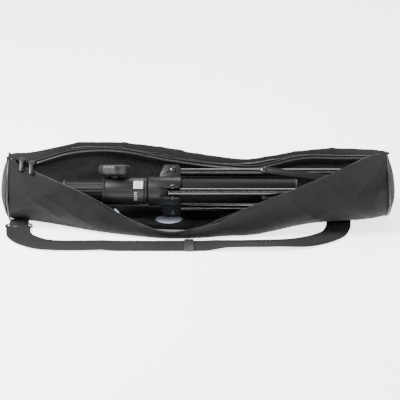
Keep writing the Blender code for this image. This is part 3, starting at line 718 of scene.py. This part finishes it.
@dataclass
class CarryBag:
    """The bag's walls, ends, floor, piping and bindings, laid over its closed solids."""

    axis: Vector = field(default_factory=lambda: Vector((0.0, 0.016, 0.046)))
    piping: float = 0.0015
    bead: float = 0.0009
    binding: float = 0.0100
    puff: float = 0.0062
    back_puff: float = 0.0030
    dome: float = 0.0050
    seam: float = 0.0026
    fullness: float = 1.035
    ear: float = 0.0050
    ear_rise: float = 0.0034
    back_heart: Point = (0.045, 0.050)
    end_radius: float = 0.046
    wrap: float = 0.0019
    crown: float = 0.0006
    bead_place: Point = (0.0012, 0.0004)
    body: str = "bag"

    def mouth(self, node: str) -> list[Vector]:
        """The mouth's edge on one wall, a point for each cross-section."""
        if node == "bag_front":
            return [mean(sorted(group, key=lambda p: -p.z)[:2]) for group in stations(node)]
        upper = 0.060
        return [mean(sorted((p for p in group if p.z > upper), key=lambda p: p.y)[:2])
                for group in stations(node)]

    def end_ring(self, left: bool) -> list[Vector]:
        """The outline of one end, where the walls are sewn to the end panel."""
        pick = 0 if left else -1
        points = stations("bag_front")[pick] + stations("bag_back")[pick]
        slices: dict[int, list[Vector]] = {}
        for p in points:
            angle = atan2(p.z - self.axis.z, p.y - self.axis.y - 0.010)
            slices.setdefault(round(angle / (2 * pi) * 22), []).append(p)
        ring = [max(group, key=lambda p: (p.yz - self.axis.yz).length)
                for _, group in sorted(slices.items())]
        return ring + [ring[0]]

    def crease(self, p: Vector) -> float:
        """How far the cloth stands out at a point, as a share of the puff."""
        side = 1 if p.x > -0.02 else -1
        slant = p.x * 0.55 + p.z * side
        drawn = noise.noise(Vector((slant * 17, p.z * 5, p.y * 4)))
        ridge = 1 - abs(noise.noise(Vector((slant * 26 + 3.7, p.x * 6, p.y * 3)))) * 2.6
        cross = 1 - abs(noise.noise(Vector(((p.x - p.z * 1.6 * side) * 15, p.z * 7, 8.0)))) * 3.0
        small = noise.noise(Vector((p.x * 60, p.y * 44, p.z * 70)))
        return (0.30 + 0.65 * drawn + 0.55 * max(ridge, 0) ** 2
                + 0.40 * max(cross, 0) ** 3 + 0.10 * small)

    def puffed(self, piece: Piece, height: float) -> None:
        """Let a wall's cloth stand out in folds, fading to nothing at the floor."""
        for vertex in piece.data.vertices:
            p = vertex.co
            out = Vector((0.0, p.y - self.axis.y, p.z - self.axis.z)).normalized()
            share = max(self.crease(p), -0.10) * (0.12 + 0.88 * ease(p.z, 0.008, 0.040))
            near_end = 1 - 0.6 * ease(abs(p.x), 0.268, 0.290)
            vertex.co = p + out * height * share * near_end

    def two_sided(self, piece: Piece, heart: Point) -> None:
        """Nylon on the side that faces away from a point (Y, Z), lining on the other."""
        piece.data.materials.append(FINISHES["bag_nylon"])
        piece.data.materials.append(FINISHES["bag_lining"])
        for face in piece.data.polygons:
            out = Vector((0.0, face.center.y - heart[0], face.center.z - heart[1]))
            face.material_index = 0 if face.normal.dot(out) > 0 else 1

    def wall(self, node: str, flat: Point, area: float) -> None:
        """One of the two long walls, from its node's own shape, smoothed, puffed out in folds, with
        nylon outside and lining inside.
        """
        piece = copy_of(node, node + "_cloth")
        modify(piece, "SUBSURF", levels=3, render_levels=3)
        self.puffed(piece, self.puff if node == "bag_front" else self.back_puff)
        self.two_sided(piece, self.axis.yz if node == "bag_front" else self.back_heart)
        hand_over(piece, "bag_nylon", self.body, "cloth", node, angle=60)

    def end(self, node: str, left: bool) -> None:
        """An end panel, softly domed, with its piping."""
        piece = copy_of(node, node + "_cloth")
        modify(piece, "SUBSURF", levels=2, render_levels=2)
        edit(piece)
        bpy.ops.transform.resize(value=(1.0, self.fullness, self.fullness),
                                 center_override=self.axis)
        put_down()
        outward = -1 if left else 1
        for vertex in piece.data.vertices:
            p = vertex.co
            rim = (p.yz - self.axis.yz).length / self.end_radius
            swell = max(1 - rim * rim, 0) * (1.2 - 0.5 * ease(p.z, 0.030, 0.080))
            rumple = 0.0012 * noise.noise(Vector((p.y * 30, p.z * 34, 5.0)))
            vertex.co.x += outward * (self.dome * swell + rumple)
        hand_over(piece, "bag_nylon", self.body, "cloth", node, angle=60)
        ring = self.end_ring(left)
        for point in ring:
            point.x += outward * 0.0012
            point.z = max(point.z, self.piping + 0.0002)
        name = "end_piping_left" if left else "end_piping_right"
        piping = cord_skin(name, ring, self.piping, 150, closed=True)
        hand_over(piping, "piping_vinyl", self.body, "cloth")

    def floor(self) -> None:
        """The lined floor panel."""
        piece = copy_of("bag_base", "bag_floor")
        rows: dict[int, list[bpy.types.MeshVertex]] = {}
        for vertex in piece.data.vertices:
            rows.setdefault(round(vertex.co.x * 1000), []).append(vertex)
        for row in rows.values():
            near, far = min(v.co.y for v in row), max(v.co.y for v in row)
            for vertex in row:
                share = (vertex.co.y - near) / max(far - near, self.seam)
                vertex.co.y += self.seam * (2 * share - 1)
        round_off(piece, 0.0006, 2)
        hand_over(piece, "bag_lining", self.body, "lining", "bag_base", angle=50)

    def edge_binding(self, node: str, name: str, first: int, last: int) -> None:
        """The binding folded over the mouth's edge, with a piping bead along it."""
        rim = self.mouth(node)[first:last]
        inward = 1.0 if node == "bag_front" else -1.0

        def fold(u: float, v: float) -> Vector:
            """A point of the binding: outside, over the edge, and back inside."""
            edge = through(rim, v)
            turn = (u - 0.5) * pi
            drop = self.binding * 0.5 * (1 - cos(turn)) * (0.42 + 0.58 * ease(edge.z, 0.012, 0.050))
            return edge + Vector((0, inward * self.wrap * sin(turn), self.crown * cos(turn) - drop))

        tape = skin(name, 10, 150, fold, size=(0.022, 0.55))
        modify(tape, "SOLIDIFY", thickness=0.0005, offset=1.0)
        hand_over(tape, "binding_tape", self.body, "webbing", angle=60)
        inset, rise = self.bead_place
        bead = [p + Vector((0, inward * inset, rise)) for p in rim]
        hand_over(cord_skin(name + "_bead", bead, self.bead, 190), "piping_vinyl", self.body,
                  "cloth")

    def mouth_end(self, name: str, front: list[Vector], back: list[Vector]) -> None:
        """The cloth patch that closes one end of the mouth and stands up past it as an ear.

        Args:
            name: the patch's name.
            front: the front wall's edge, from the bag's end inwards.
            back: the back wall's edge, likewise.
        """
        past = (front[0] - front[1]).normalized() * self.ear

        def place(u: float, v: float) -> Vector:
            """A point of the patch, from its ear inwards."""
            share = max(v * 1.3 - 0.3, 0.0)
            over = max(0.3 - v * 1.3, 0.0) / 0.3
            here = through(front, share).lerp(through(back, share), u)
            arch = 0.0018 * sin(pi * u) * (1 - share)
            rise = self.ear_rise * over * (0.4 + 0.6 * sin(pi * u))
            return here + Vector((past.x * over, 0, arch + rise))

        patch = skin(name, 12, 16, place, size=(0.03, 0.03))
        thicken(patch, 0.0010, 0.0002)
        hand_over(patch, "bag_nylon", self.body, "cloth", angle=60)

    def build(self) -> None:
        """Make the whole bag."""
        self.floor()
        self.wall("bag_front", (0.125, 0.590), 0.047)
        self.wall("bag_back", (0.170, 0.590), 0.088)
        self.end("bag_end_left", True)
        self.end("bag_end_right", False)
        front, back = self.mouth("bag_front"), self.mouth("bag_back")
        self.mouth_end("mouth_end_left", front[:2], back[:2])
        self.mouth_end("mouth_end_right", front[:-4:-1], back[:-4:-1])
        self.edge_binding("bag_front", "mouth_binding_front", 2, -1)
        self.edge_binding("bag_back", "mouth_binding_back", 2, -1)


# ---------------------------------------------------------------- zip

@dataclass
class Zip:
    """Tapes, coils, sliders and pulls of the bag's zip."""

    bag: CarryBag
    pitch: float = 0.0022
    tooth: Point = (0.0012, 0.0036, 0.0015)
    coil_place: Point = (0.0052, -0.0026)
    coil_tilt: float = -0.5

    def tape(self, node: str) -> None:
        """One tape, from its own solid."""
        piece = copy_of(node, node + "_woven")
        modify(piece, "SUBSURF", levels=1, render_levels=1)
        hand_over(piece, "binding_tape", "bag", "webbing", node, angle=60)

    def coil(self, node: str, name: str, first: int, last: int) -> None:
        """A row of coil turns along the inside of one mouth edge."""
        rim = self.bag.mouth(node)[first:last]
        inward = 1.0 if node == "bag_front" else -1.0
        count = int(measured(rim) / self.pitch)
        inset, rise = self.coil_place
        put_down()
        bpy.ops.mesh.primitive_cube_add(size=1.0)
        master = bpy.context.object
        master.name = name
        master.scale = self.tooth
        bpy.ops.object.transform_apply(scale=True)
        round_off(master, 0.0004, 1, 30)
        turns = []
        for k in range(count):
            share = k / (count - 1)
            here = through(rim, share) + Vector((0, inward * inset, rise))
            ahead = heading(rim, share, 0.01).normalized()
            turn = Vector(Axis.X.value).rotation_difference(ahead).to_matrix().to_4x4()
            tilt = Matrix.Rotation(self.coil_tilt * inward, 4, "X")
            copy = master.copy()
            copy.data = master.data.copy()
            copy.data.transform(Matrix.Translation(here) @ turn @ tilt)
            bpy.context.scene.collection.objects.link(copy)
            turns.append(copy)
        bpy.data.objects.remove(master)
        put_down()
        for copy in turns:
            copy.select_set(True)
        bpy.context.view_layer.objects.active = turns[0]
        bpy.ops.object.join()
        turns[0].name = name
        hand_over(turns[0], "zip_coil", "bag", "wire")

    def slider(self, letter: str) -> None:
        """A slider's body, a block with rounded edges, with the bridge that holds its pull."""
        node = "zip_slider_" + letter
        at = Span.of(node).middle
        put_down()
        bpy.ops.mesh.primitive_cube_add(size=1.0, location=at)
        body = bpy.context.object
        body.name = "slider_body_" + letter
        body.scale = Span.of(node).size
        bpy.ops.object.transform_apply(scale=True)
        edit(body)
        bpy.ops.mesh.inset(thickness=0.0008, use_even_offset=True)
        put_down()
        round_off(body, 0.0009, 3, 30)
        hand_over(body, "zip_nickel", "slider_" + letter, "wire", node)
        bridge = [at + Vector((0, y * 0.0032, 0.0020 + 0.0019 * cos(y * pi / 2)))
                  for y in (-1.0, -0.7, -0.35, 0.0, 0.35, 0.7, 1.0)]
        hand_over(cord_skin("slider_bridge_" + letter, bridge, 0.0006, 20), "zip_nickel",
                  "slider_" + letter, "wire")

    def pull(self, letter: str) -> None:
        """A slider's pull: its own plate with a broken edge and a raised grip."""
        piece = refined("zip_pull_" + letter, "zip_nickel", "pull_" + letter, "wire", 0.0003)
        low, high = piece.bound_box[0], piece.bound_box[6]
        foot = Vector(((low[0] + high[0]) / 2, low[1] + 0.0035, low[2] + 0.0035))
        lift = Vector((0, -0.6, 0.8))
        grip = turned("pull_grip_" + letter, [(0, 0.0016), (0.0005, 0.0016), (0.0008, 0.0012)],
                      foot + lift * 0.0006, lift, 20)
        hand_over(grip, "zip_nickel", "pull_" + letter, "wire")

    def build(self) -> None:
        """Make the whole zip."""
        for node in ("zip_tape_front", "zip_tape_back"):
            self.tape(node)
        self.coil("bag_front", "coil_front", 3, -3)
        self.coil("bag_back", "coil_back", 3, -3)
        for letter in ("a", "b"):
            self.slider(letter)
            self.pull(letter)


# ---------------------------------------------------------------- shoulder strap

@dataclass
class ShoulderStrap:
    """The webbing strap on the floor, its ring, tab and keeper."""

    width: float = 0.0380
    thick: float = 0.0014
    height: float = 0.0010
    ripple: float = 0.0016
    curl: float = 0.0012
    twist: float = 0.0050
    ring_height: float = 0.0046
    tuck: float = 0.0080
    fold_back: float = 0.0110
    keeper_x: float = -0.059
    route: tuple[tuple[float, float], ...] = (
        (-0.2770, -0.0375), (-0.2735, -0.0600), (-0.2550, -0.0840), (-0.2200, -0.0970),
        (-0.1200, -0.0970), (0.0000, -0.0970), (0.1100, -0.0955), (0.1650, -0.0850),
        (0.2030, -0.0580), (0.2150, -0.0300), (0.2180, -0.0040),
    )

    def webbing(self) -> None:
        """The long strap, lifting and rippling a little off the floor."""
        (x, y), *others = self.route
        ring = Span.of("strap_ring_left")
        path = [Vector((x, ring.low.y + self.fold_back, self.height + 0.0008)),
                Vector((x, ring.low.y + 0.0030, self.ring_height)),
                Vector((x, y, self.ring_height * 0.8))]
        path += [Vector((px, py, self.height)) for px, py in others]
        path.append(path[-1] + Vector((0.0005, self.tuck + 0.0040, 0)))
        length = measured(path)

        def place(u: float, v: float) -> Vector:
            """A point across and along the strap, which lies flat where the keeper runs."""
            here = through(path, v)
            ahead = heading(path, v, 0.01).normalized()
            side = Vector((-ahead.y, ahead.x, 0))
            loose = ease(abs(here.x - self.keeper_x), 0.062, 0.092)
            wave = 0.5 + noise.noise(Vector((here.x * 11, u * 1.7, 2.0)))
            bend = abs(2 * u - 1) ** 3 * (0.6 + noise.noise(Vector((here.x * 17, u, 7.0))))
            turned_up = ease(here.x, 0.008, 0.050) * (1 - ease(here.x, 0.115, 0.170))
            rise = (max(self.ripple * wave * loose, 0) + max(self.curl * bend * loose, 0)
                    + self.twist * (1 - u) * turned_up)
            return here + side * (u - 0.5) * self.width + Vector((0, 0, rise))

        strap = skin("shoulder_strap", 16, 360, place, size=(self.width, length))
        thicken(strap, self.thick, 0.0003)
        hand_over(strap, "strap_twill", "bag", "webbing", "strap_webbing", angle=50)

    def tab(self) -> None:
        """The sewn tab that ties the ring to the bag."""
        span = Span.of("strap_tab_left")
        ring = Span.of("strap_ring_left")
        start, end = span.high.y + self.tuck, ring.high.y - self.fold_back

        def place(u: float, v: float) -> Vector:
            """A point of the tab, which rises over the ring's wire and drops inside it."""
            y = end + (start - end) * v
            share = ease(y, end, ring.high.y - 0.0040) * (1 - ease(y, ring.high.y + 0.0005, start))
            rise = (self.ring_height - self.height) * share
            return Vector((span.low.x + span.size.x * u, y, self.height + rise))

        tab = skin("ring_tab", 12, 24, place, size=(span.size.x, start - end))
        thicken(tab, self.thick, 0.0003)
        hand_over(tab, "strap_twill", "bag", "webbing", "strap_tab_left")

    def ring(self) -> None:
        """The oblong wire ring."""
        span = Span.of("strap_ring_left")
        wire = span.size.z / 2
        half = (span.size.x / 2 - wire, span.size.y / 2 - wire)
        steps = 32
        path = [span.middle + Vector((half[0] * cos(2 * pi * k / steps),
                                      half[1] * sin(2 * pi * k / steps), 0))
                for k in range(steps + 1)]
        ring = cord_skin("strap_ring", path, wire * 0.96, 96, closed=True, sides=14)
        hand_over(ring, "ring_black", "bag", "wire", "strap_ring_left")

    def build(self) -> None:
        """Make the strap and what is on it."""
        self.webbing()
        self.tab()
        self.ring()
        refined("strap_keeper", "knob_plastic", "keeper", "knob", 0.0006)


# ---------------------------------------------------------------- desk

@dataclass
class Desk:
    """The folded desk: two sheet leaves on a hinge pin, over a felt pad."""

    edge: float = 0.0004

    def build(self) -> None:
        """Finish the desk and the pad it lies on."""
        refined("desk_leaf_lower", "desk_sheet", "desk_lower", "powder", self.edge)
        refined("desk_leaf_upper", "desk_sheet", "desk_upper", "powder", self.edge)
        refined("desk_hinge_pin", "powder_coat", "desk_lower", "rivet", 0.0002)
        pad = refined("foam_pad", "pad_felt", "bag", "foam", 0.0006)
        pad.data.materials.append(FINISHES["bag_lining_dark"])
        for face in pad.data.polygons:
            face.material_index = 0 if face.normal.z > 0.5 else 1


# ---------------------------------------------------------------- mast

@dataclass
class Mast:
    """Telescoping columns, the clamp with its lobed knob, and the foot with its spider."""

    lobes: int = 8
    lobe_depth: float = 0.055
    flutes: int = 20
    flute_depth: float = 0.0006
    column_wall: float = 0.0015
    clamp_angle: float = radians(68)
    knob_radius: float = 0.0252
    knob_base: float = 0.0248
    knob_rise: Profile = (
        (0.0000, 0.60), (0.0000, 0.84), (0.0008, 0.90), (0.0025, 0.965), (0.0060, 1.0),
        (0.0100, 0.995), (0.0130, 0.965), (0.0148, 0.90), (0.0155, 0.80), (0.0153, 0.62),
        (0.0140, 0.58), (0.0138, 0.30),
    )
    label_radius: float = 0.02132
    label_run: Point = (-0.0995, -0.0850)

    @property
    def outward(self) -> Vector:
        """The clamp screw's direction, away from the mast."""
        return Vector((0, cos(self.clamp_angle), sin(self.clamp_angle)))

    def column(self) -> None:
        """The inner column, with its ribs cut all round and a rolled lip at the head."""
        span = Span.of("column_upper")
        radius = span.size.y / 2
        bore, lip = radius - self.column_wall, 0.0004
        long = span.size.x
        profile = [(0, bore), (0, radius - lip), (lip, radius), (long - lip, radius),
                   (long, radius - lip), (long, bore), (long, bore), (0, bore)]

        def place(u: float, v: float) -> Vector:
            """A point of the column's wall, outside going down and inside coming back."""
            along, r = profile[round(v * (len(profile) - 1))]
            angle = 2 * pi * u
            if r > bore:
                r -= self.flute_depth * (0.5 - 0.5 * cos(angle * self.flutes)) ** 2
            return Vector((span.low.x + along, r * cos(angle), span.middle.z + r * sin(angle)))

        piece = skin("column_ribbed", self.flutes * 6, len(profile) - 1, place, seamless=True)
        hand_over(piece, "fluted_anodised", "inner_column", "powder", "column_upper", angle=50)

    def knob(self) -> None:
        """The clamp knob: lobes all round, a raised rim and a dished cap."""
        screw = Span.of("clamp_screw").middle
        centre = Vector((screw.x, 0, Span.of("column_lower").middle.z))
        side = Vector(Axis.X.value)
        across = self.outward.cross(side)
        rings = len(self.knob_rise) - 1

        def place(u: float, v: float) -> Vector:
            """A point of the knob's skin."""
            level, share = self.knob_rise[round(v * rings)]
            angle = 2 * pi * u
            lobe = self.lobe_depth * (1 - cos(self.lobes * angle)) * ease(share, 0.60, 0.84)
            r = self.knob_radius * share * (1 - lobe)
            return (centre + self.outward * (self.knob_base + level)
                    + (side * cos(angle) + across * sin(angle)) * r)

        piece = skin("knob_lobed", self.lobes * 12, rings, place, seamless=True)
        cap(piece)
        hand_over(piece, "knob_plastic", "knob", "knob", "clamp_knob", angle=38)

    def labels(self) -> None:
        """Two blank stickers round the clamp housing."""
        middle = Span.of("column_lower").middle.z
        low, high = self.label_run
        for name, finish, start, end in (("label_upper", "label_plain", 148, 112),
                                         ("label_lower", "label_barred", 208, 158)):
            def place(u: float, v: float) -> Vector:
                """A point of the sticker."""
                angle = radians(start + (end - start) * v)
                return Vector((low + (high - low) * u, self.label_radius * cos(angle),
                               middle + self.label_radius * sin(angle)))

            sticker = skin(name, 10, 20, place)
            modify(sticker, "SOLIDIFY", thickness=0.00010, offset=1.0)
            hand_over(sticker, finish, "stand", "knob")

    def build(self) -> None:
        """Make the whole mast."""
        self.column()
        self.knob()
        refined("column_lower", "fluted_anodised", "stand", "powder", 0.0004)
        refined("clamp_housing", "powder_coat", "stand", "powder", 0.0003)
        refined("clamp_bush", "knob_plastic", "stand", "knob", 0.0002)
        refined("clamp_screw", "rivet_steel", "knob", "rivet", 0.0002)
        refined("head_cap", "knob_plastic", "inner_column", "knob", 0.0006)
        refined("column_plug", "knob_plastic", "stand", "knob", 0.0005)
        refined("centre_rod", "gloss_black", "stand", "gloss", 0.0004)
        refined("foot_spider", "powder_coat", "stand", "powder", 0.0004)
        refined("rod_cap", "foot_rubber", "stand", "rubber", 0.0004)
        self.labels()


# ---------------------------------------------------------------- tripod

@dataclass
class Tripod:
    """The hub, its three legs and their flat braces."""

    leg_radius: float = 0.00635
    wall: float = 0.0010
    foot_radius: float = 0.0086
    tip: float = 0.0005
    turn: dict[Leg, float] = field(
        default_factory=lambda: {Leg.A: 41.5, Leg.B: 161.5, Leg.C: 281.5})
    head: Profile = ((0, 0.0040), (0.0004, 0.0044), (0.0009, 0.0042), (0.0013, 0.0034),
                     (0.0016, 0.0020), (0.0017, 0.0006))

    def run_of(self, node: str) -> tuple[Vector, float]:
        """Where a leg's part starts on the leg's own line, and how long it is."""
        span = Span.of(node)
        return Vector((span.low.x, span.middle.y, span.middle.z)), span.size.x

    def tube(self, leg: Leg) -> None:
        """A leg tube, open at the hub where it takes its pivot."""
        node = "leg_tube_" + leg.value
        start, long = self.run_of(node)
        r, bore, bevel = self.leg_radius, self.leg_radius - self.wall, 0.0003
        profile = [(0.012, self.tip), (0.0119, bore), (0, bore), (0, r - bevel), (bevel, r),
                   (long - bevel, r), (long, r - bevel), (long, self.tip)]
        piece = turned("leg_" + leg.value, profile, start, Axis.X.value, 40)
        hand_over(piece, "gloss_black", "leg_" + leg.value, "gloss", node, angle=35)

    def foot(self, leg: Leg) -> None:
        """A rubber foot with three grip rings and a rounded tip."""
        node = "leg_foot_" + leg.value
        start, long = self.run_of(node)
        r, lip, groove = self.foot_radius, self.leg_radius + 0.0002, 0.0007
        profile = [(0.020, lip * 0.2), (0.0199, lip), (0.0004, lip), (0.0, lip + 0.0006),
                   (0.0006, r - 0.0008), (0.0014, r)]
        for ring in range(3):
            at = 0.0050 + 0.0045 * ring
            profile += [(at, r), (at + 0.0006, r - groove), (at + 0.0018, r - groove),
                        (at + 0.0024, r)]
        profile += [(long - 0.0050, r), (long - 0.0020, r - 0.0012), (long - 0.0005, r - 0.0032),
                    (long, r - 0.0055), (long, self.tip)]
        piece = turned("foot_" + leg.value, profile, start, Axis.X.value, 36)
        hand_over(piece, "foot_rubber", "leg_" + leg.value, "rubber", node, angle=35)

    def dome(self, node: str, body: str, leg: Leg, facing: float) -> None:
        """A bright domed head over a pin's or rivet's own head.

        Args:
            node: the pin whose end it caps.
            body: the body that carries it.
            leg: the leg it belongs to.
            facing: which way along the pin it faces.
        """
        angle = radians(self.turn[leg])
        along = Vector((0, sin(angle), -cos(angle))) * facing
        span = Span.of(node)
        reach = max(abs((Vector(v.co) - span.middle).dot(along))
                    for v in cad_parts[node].data.vertices)
        start = span.middle + along * (reach - 0.0007)
        name = "%s_head_%d" % (node, 1 if facing > 0 else 2)
        piece = turned(name, self.head, start, along, 28)
        hand_over(piece, "rivet_steel", body, "rivet", angle=60)

    def build(self) -> None:
        """Make the whole tripod."""
        refined("hub", "powder_coat", "hub", "powder", 0.0004)
        refined("hub_set_screw", "rivet_steel", "hub", "rivet", 0.0001)
        for leg in Leg:
            self.tube(leg)
            self.foot(leg)
            key = leg.value
            brace, pivot, rivet = "brace_" + key, "leg_pivot_" + key, "brace_rivet_" + key
            refined(brace, "powder_coat", brace, "powder", 0.0005)
            refined(pivot, "rivet_steel", "hub", "rivet", 0.0002)
            refined(rivet, "rivet_steel", brace, "rivet", 0.0002)
            refined("brace_pin_" + key, "rivet_steel", "stand", "rivet", 0.0002)
            self.dome(pivot, "hub", leg, 1.0)
            self.dome(pivot, "hub", leg, -1.0)
            self.dome(rivet, brace, leg, 1.0)


# ---------------------------------------------------------------- studio

def look_along(view: Vector) -> Euler:
    """The rotation of a lamp or camera that looks along a direction."""
    return view.to_track_quat("-Z", "Y").to_euler()


@dataclass(frozen=True)
class Studio:
    """A plain pale floor, soft lamps and the camera."""

    aim: Point = (0.0030, 0.0050, 0.0350)
    elevation: float = radians(22)
    distance: float = 4.306
    lens: float = 250.0
    floor_glow: float = 2.6
    air_glow: float = 0.30

    def floor(self) -> None:
        """A wide pale floor."""
        put_down()
        bpy.ops.mesh.primitive_plane_add(size=30.0, location=(0, 0, 0))
        floor = bpy.context.object
        floor.name = "studio_floor"
        s = Surface("floor_white")
        s.constant(Roughness=0.9, Base_Color=(0.93, 0.93, 0.94, 1.0),
                   Emission_Color=(1.0, 1.0, 1.0, 1.0), Emission_Strength=self.floor_glow)
        floor.data.materials.append(s.material)

    def lamp(self, name: str, place: Point, size: tuple[float, float], power: float) -> None:
        """A soft oblong lamp that faces the object."""
        put_down()
        bpy.ops.object.light_add(type="AREA", location=place)
        lamp = bpy.context.object
        lamp.name = name
        lamp.data.shape = "RECTANGLE"
        lamp.data.size, lamp.data.size_y = size
        lamp.data.energy = power
        lamp.rotation_euler = look_along(Vector(self.aim) - Vector(place))

    def camera(self) -> None:
        """The camera, level, a little above the bag."""
        view = Vector((0, cos(self.elevation), -sin(self.elevation)))
        put_down()
        bpy.ops.object.camera_add(location=Vector(self.aim) - view * self.distance)
        camera = bpy.context.object
        camera.rotation_euler = look_along(view)
        camera.data.lens = self.lens
        bpy.context.scene.camera = camera

    def build(self) -> None:
        """Set up the studio."""
        self.camera()
        self.floor()
        self.lamp("strip_lamp", (0.40, -1.70, 1.05), (2.0, 0.09), 14.0)
        self.lamp("top_lamp", (-1.0, -0.25, 1.35), (0.8, 0.6), 92.0)
        self.lamp("back_lamp", (0.5, 1.3, 1.5), (1.4, 0.5), 26.0)
        world = bpy.data.worlds.new("studio_air")
        world.use_nodes = True
        sky = world.node_tree.nodes["Background"].inputs
        sky["Color"].default_value = (1.0, 1.0, 1.0, 1.0)
        sky["Strength"].default_value = self.air_glow
        bpy.context.scene.world = world


def main() -> None:
    """Build the studio and every sub-assembly, in order."""
    logging.basicConfig(level=logging.INFO, format="%(name)s %(message)s")
    Studio().build()
    bag = CarryBag()
    for assembly in (bag, Zip(bag), ShoulderStrap(), Desk(), Mast(), Tripod()):
        assembly.build()
        LOG.info("%s done", type(assembly).__name__)
    put_down()


if __name__ == "__main__":
    main()
